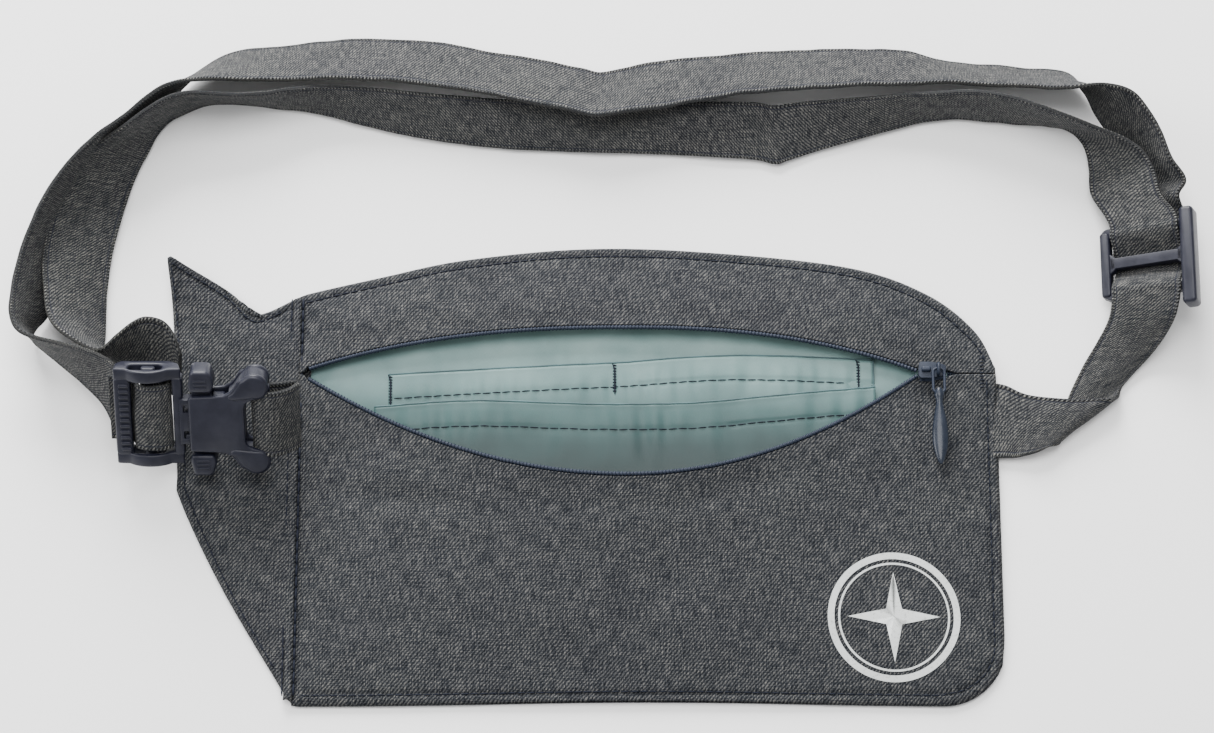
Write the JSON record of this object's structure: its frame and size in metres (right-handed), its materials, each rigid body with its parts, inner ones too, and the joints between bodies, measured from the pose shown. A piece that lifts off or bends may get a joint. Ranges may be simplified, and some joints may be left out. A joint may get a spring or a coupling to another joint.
{
  "type": "money belt",
  "caption": "Flat zipped waist pouch with lined pockets, a doubled webbing belt, a side release buckle and a strap adjuster.",
  "frame": {"origin": "on the pouch's flat back, level with the middle of its body from side to side and from bottom to top seam", "axes": "+Z out of the back panel towards the zipped front, +X towards the zip's closing end, +Y towards the pouch's top seam"},
  "size_m": [0.4185, 0.2475, 0.0412],
  "materials": {
    "heather_twill": "heathered twill weave",
    "heather_webbing": "heathered twill, folded and edge stitched",
    "satin_lining": "satin",
    "dark_thread": "stitched thread",
    "zip_tape": "woven tape",
    "zip_nylon": "satin",
    "moulded_plastic": "semi gloss moulded",
    "pull_plastic": "gloss",
    "print_ink": "matt screen print"
  },
  "bodies": {
    "pouch": {"back_panel": "heather_twill", "seam_allowance": "heather_twill", "front_lower_panel": "heather_twill", "front_upper_panel": "heather_twill", "wing_back_panel": "heather_twill", "wing_seam_allowance": "heather_twill", "wing_front_panel": "heather_twill", "seam_welt": "heather_twill", "back_lining": "satin_lining", "card_pocket": "satin_lining", "slip_pocket": "satin_lining", "pocket_bartacks": "dark_thread", "front_lining": "satin_lining", "upper_lining": "satin_lining", "closed_coil": "zip_nylon", "zip_end_stops": "zip_nylon", "emblem_print": "print_ink", "seam_bartack": "dark_thread", "belt_anchor": "heather_webbing", "belt_weave": "heather_webbing", "belt_inner_right": "heather_webbing", "belt_outer_right": "heather_webbing", "buckle_socket": "moulded_plastic", "socket_loop": "heather_webbing"},
    "plug": {"buckle_plug": "moulded_plastic", "plug_wrap": "heather_webbing", "belt_outer_left": "heather_webbing", "belt_inner_left": "heather_webbing"},
    "adjuster": {"adjuster_bar": "moulded_plastic"},
    "upper_catch": {"upper_prong": "moulded_plastic"},
    "lower_catch": {"lower_prong": "moulded_plastic"},
    "slider": {"zip_slider": "zip_nylon"},
    "link": {"pull_link": "zip_nylon"},
    "pull": {"zip_pull": "pull_plastic"},
    "lower_lip": {"lower_coil": "zip_nylon", "lower_tape": "zip_tape"},
    "upper_lip": {"upper_coil": "zip_nylon", "upper_tape": "zip_tape"},
    "strap_adjuster": {"triglide": "moulded_plastic"}
  },
  "joints": [
    {"name": "zip_slide", "type": "slide", "parent": "pouch", "child": "slider", "axis": [-1, 0, 0], "range_m": [0, 0.208]},
    {"name": "lower_lip_close", "type": "slide", "parent": "pouch", "child": "lower_lip", "axis": [0, 0.9653, -0.2613], "range_m": [0, 0.04593], "deforming": ["lower_coil", "lower_tape", "front_lower_panel", "front_lining"]},
    {"name": "upper_lip_close", "type": "slide", "parent": "pouch", "child": "upper_lip", "axis": [0, -0.9599, -0.2805], "range_m": [0, 0.01783], "deforming": ["upper_coil", "upper_tape", "front_upper_panel", "upper_lining"]},
    {"name": "link_flip", "type": "hinge", "parent": "slider", "child": "link", "pos_m": [0.102, 0.036, 0.00923], "axis": [-1, 0, 0], "range_deg": [0, 150]},
    {"name": "pull_flip", "type": "hinge", "parent": "link", "child": "pull", "pos_m": [0.102, 0.027, 0.00923], "axis": [-1, 0, 0], "range_deg": [0, 45]},
    {"name": "buckle_release", "type": "slide", "parent": "pouch", "child": "plug", "axis": [-1, 0, 0], "range_m": [0, 0.03]},
    {"name": "upper_catch_squeeze", "type": "hinge", "parent": "plug", "child": "upper_catch", "pos_m": [-0.1646, 0.01692, 0.02711], "axis": [0, 0.7431, -0.6691], "range_deg": [0, 6], "stiffness_Nm_per_rad": 1},
    {"name": "lower_catch_squeeze", "type": "hinge", "parent": "plug", "child": "lower_catch", "pos_m": [-0.1646, 0.00808, 0.0173], "axis": [0, -0.7431, 0.6691], "range_deg": [0, 6], "stiffness_Nm_per_rad": 1},
    {"name": "adjuster_travel", "type": "slide", "parent": "plug", "child": "adjuster", "axis": [1, 0, 0], "range_m": [-0.0018, 0.001]},
    {"name": "triglide_slide", "type": "slide", "parent": "pouch", "child": "strap_adjuster", "axis": [0, 1, 0], "range_m": [-0.004, 0.001], "deforming": ["belt_weave"]}
  ],
  "couplings": [
    {"joint": "lower_lip_close", "follows": "zip_slide", "ratio": 0.22081},
    {"joint": "upper_lip_close", "follows": "zip_slide", "ratio": 0.08571}
  ]
}
